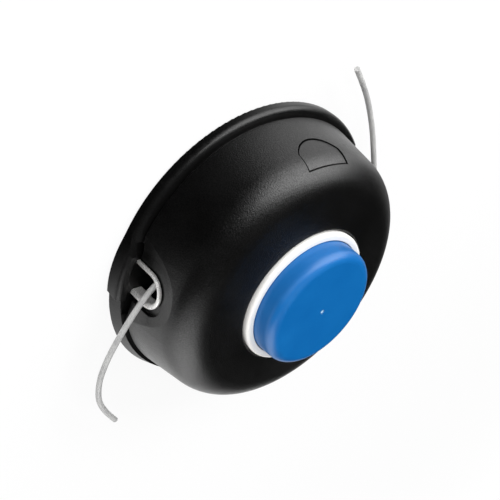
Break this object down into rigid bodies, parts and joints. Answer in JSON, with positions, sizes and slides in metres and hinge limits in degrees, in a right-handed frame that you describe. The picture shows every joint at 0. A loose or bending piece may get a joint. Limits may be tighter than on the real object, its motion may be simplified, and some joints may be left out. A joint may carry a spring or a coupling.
{
  "type": "bump feed trimmer head",
  "caption": "Round black trimmer head with a bump knob that feeds nylon line from an inner spool through metal eyelets, closed by press-in release tabs.",
  "frame": {"origin": "centre of the flat back face, on the drive axis, at the gearbox side of the rim", "axes": "+Z along the drive axis towards the bump knob, +X through the right eyelet, +Y through the upper release tab"},
  "size_m": [0.1394, 0.1502, 0.0514],
  "materials": {
    "rim_nylon": "satin moulded black nylon",
    "cap_nylon": "finely textured moulded black nylon",
    "tab_nylon": "finely textured moulded black nylon",
    "eyelet_metal": "polished",
    "spool_plastic": "ivory white moulded plastic",
    "knob_plastic": "satin blue moulded plastic",
    "spring_steel": "drawn wire",
    "washer_steel": "zinc plated",
    "nut_steel": "zinc plated",
    "nylon_line": "grey nylon monofilament"
  },
  "bodies": {
    "housing": {"back_housing": "rim_nylon", "front_cap": "cap_nylon", "eyelet_left": "eyelet_metal", "eyelet_right": "eyelet_metal", "drive_nut": "nut_steel", "line_tail_left": "nylon_line", "line_tail_right": "nylon_line", "spring": "spring_steel"},
    "washer": {"thrust_washer": "washer_steel"},
    "spool": {"spool": "spool_plastic", "bump_knob": "knob_plastic", "line_coil_back": "nylon_line", "line_coil_front": "nylon_line"},
    "tab_upper": {"release_tab_upper": "tab_nylon"},
    "tab_lower": {"release_tab_lower": "tab_nylon"}
  },
  "joints": [
    {"name": "bump_travel", "type": "slide", "parent": "housing", "child": "washer", "axis": [0, 0, -1], "range_m": [0, 0.007], "stiffness_N_per_m": 2500, "springref_m": -0.008, "deforming": ["spring"]},
    {"name": "spool_index", "type": "hinge", "parent": "washer", "child": "spool", "pos_m": [0, 0, 0.03], "axis": [0, 0, 1], "range_deg": [0, 30]},
    {"name": "release_upper", "type": "hinge", "parent": "housing", "child": "tab_upper", "pos_m": [0, 0.05652, 0.0064], "axis": [1, 0, 0], "range_deg": [0, 9], "stiffness_Nm_per_rad": 0.6, "springref_deg": -2.86},
    {"name": "release_lower", "type": "hinge", "parent": "housing", "child": "tab_lower", "pos_m": [0, -0.05652, 0.0064], "axis": [-1, 0, 0], "range_deg": [0, 9], "stiffness_Nm_per_rad": 0.6, "springref_deg": -2.86}
  ],
  "couplings": [
    {"joint": "spool_index", "follows": "bump_travel", "rad_per_m": 74.79}
  ]
}
